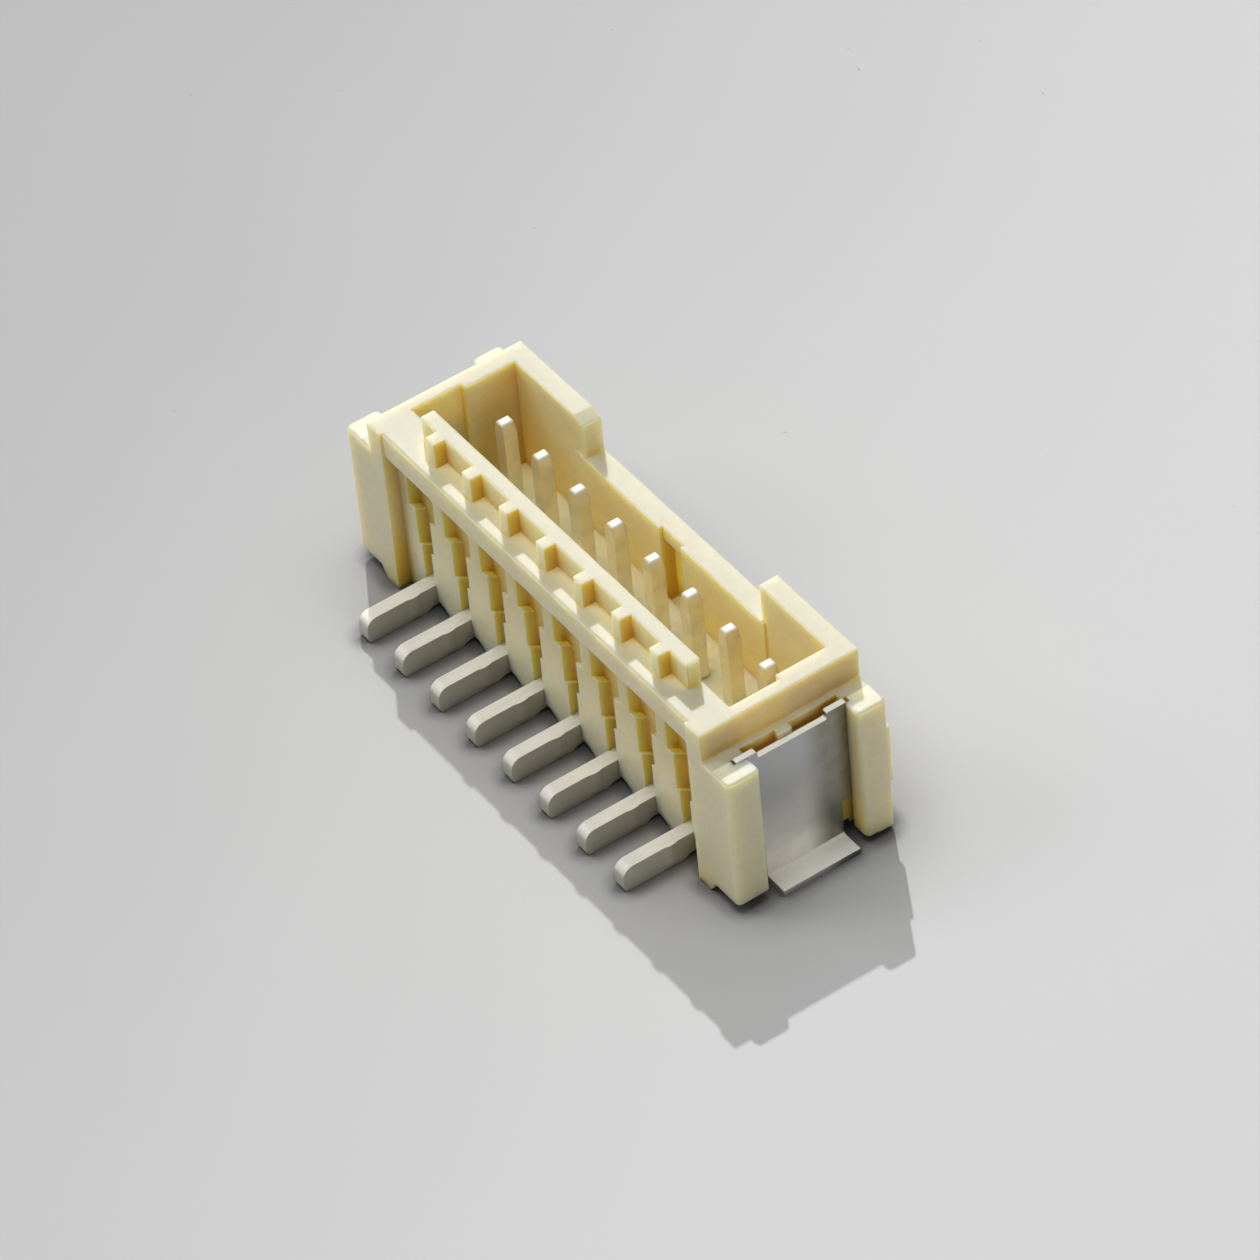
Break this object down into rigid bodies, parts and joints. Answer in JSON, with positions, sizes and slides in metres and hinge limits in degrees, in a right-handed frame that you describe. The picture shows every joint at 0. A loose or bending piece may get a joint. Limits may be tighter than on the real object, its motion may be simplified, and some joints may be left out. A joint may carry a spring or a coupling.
{
  "type": "wire-to-board connector",
  "caption": "Surface-mount shrouded pin header for a cable plug: ivory housing with a toothed rail, square pins, flat tails and bent end solder tabs.",
  "frame": {"origin": "middle of the row of pins, on the plane of the circuit board", "axes": "+X along the row from pin one to the last pin, -Y the way the tails leave, +Z away from the board, the way the plug is pulled off"},
  "size_m": [0.021, 0.0082, 0.0077],
  "materials": {
    "ivory_moulding": "satin moulded polyamide, slightly translucent ivory",
    "tinned_terminal": "bright tin plating over copper alloy",
    "tinned_tab": "satin tin plating over copper alloy"
  },
  "bodies": {
    "root": {"housing": "ivory_moulding", "terminal_1": "tinned_terminal", "terminal_2": "tinned_terminal", "terminal_3": "tinned_terminal", "terminal_4": "tinned_terminal", "terminal_5": "tinned_terminal", "terminal_6": "tinned_terminal", "terminal_7": "tinned_terminal", "terminal_8": "tinned_terminal", "solder_tab_left": "tinned_tab", "solder_tab_right": "tinned_tab"}
  },
  "joints": []
}
